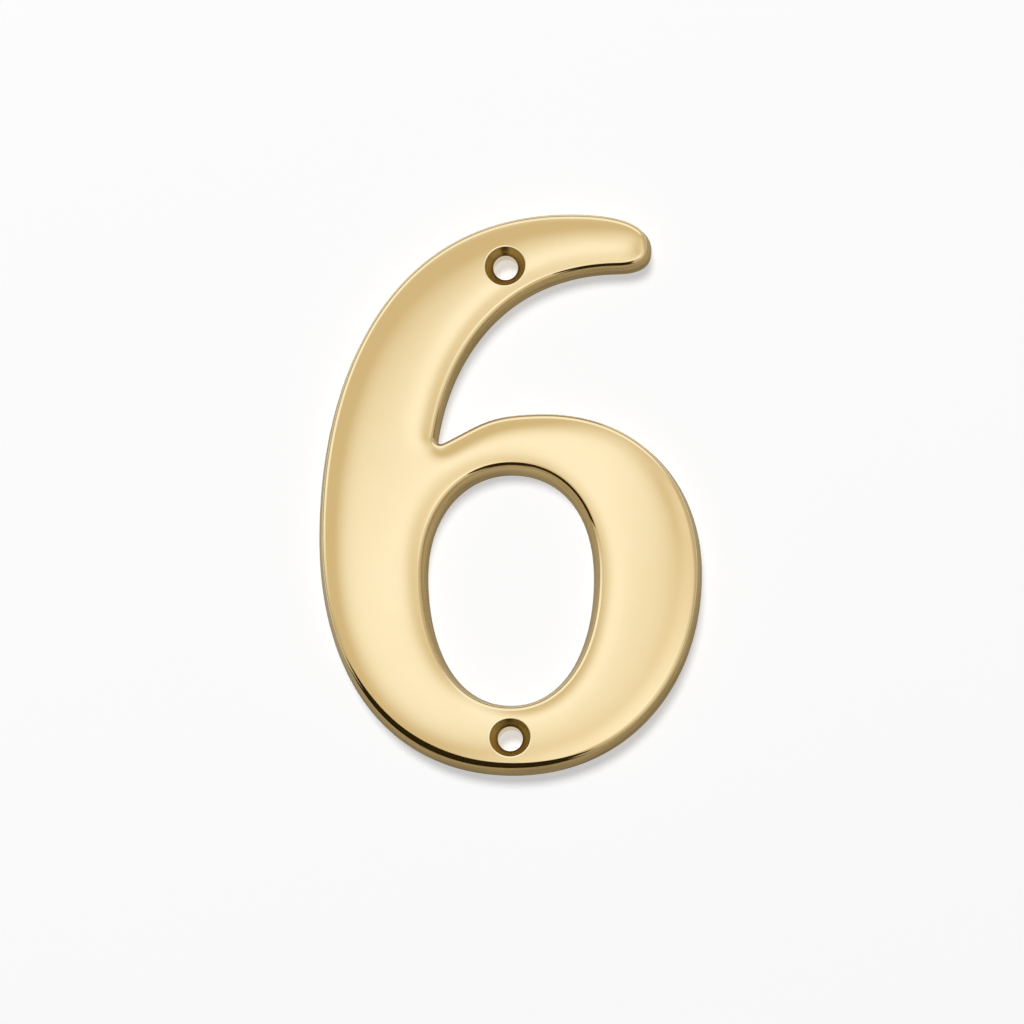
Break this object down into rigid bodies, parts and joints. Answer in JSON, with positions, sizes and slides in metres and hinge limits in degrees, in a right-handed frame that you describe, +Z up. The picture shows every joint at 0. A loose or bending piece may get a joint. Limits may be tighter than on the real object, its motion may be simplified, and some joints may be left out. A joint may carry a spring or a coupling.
{
  "type": "house number",
  "caption": "Cast brass house numeral six with a crowned polished face, rounded front edge, drafted sides, flat back and countersunk screw holes for a door or wall.",
  "frame": {"origin": "on the flat back, midway between the two screw holes", "axes": "+Z up the numeral, +Y out of the back into the wall, +X to the right as seen from the front"},
  "size_m": [0.0509, 0.0038, 0.076],
  "materials": {
    "polished_brass": "polished front with satin sides"
  },
  "bodies": {
    "root": {"numeral_six": "polished_brass"}
  },
  "joints": []
}
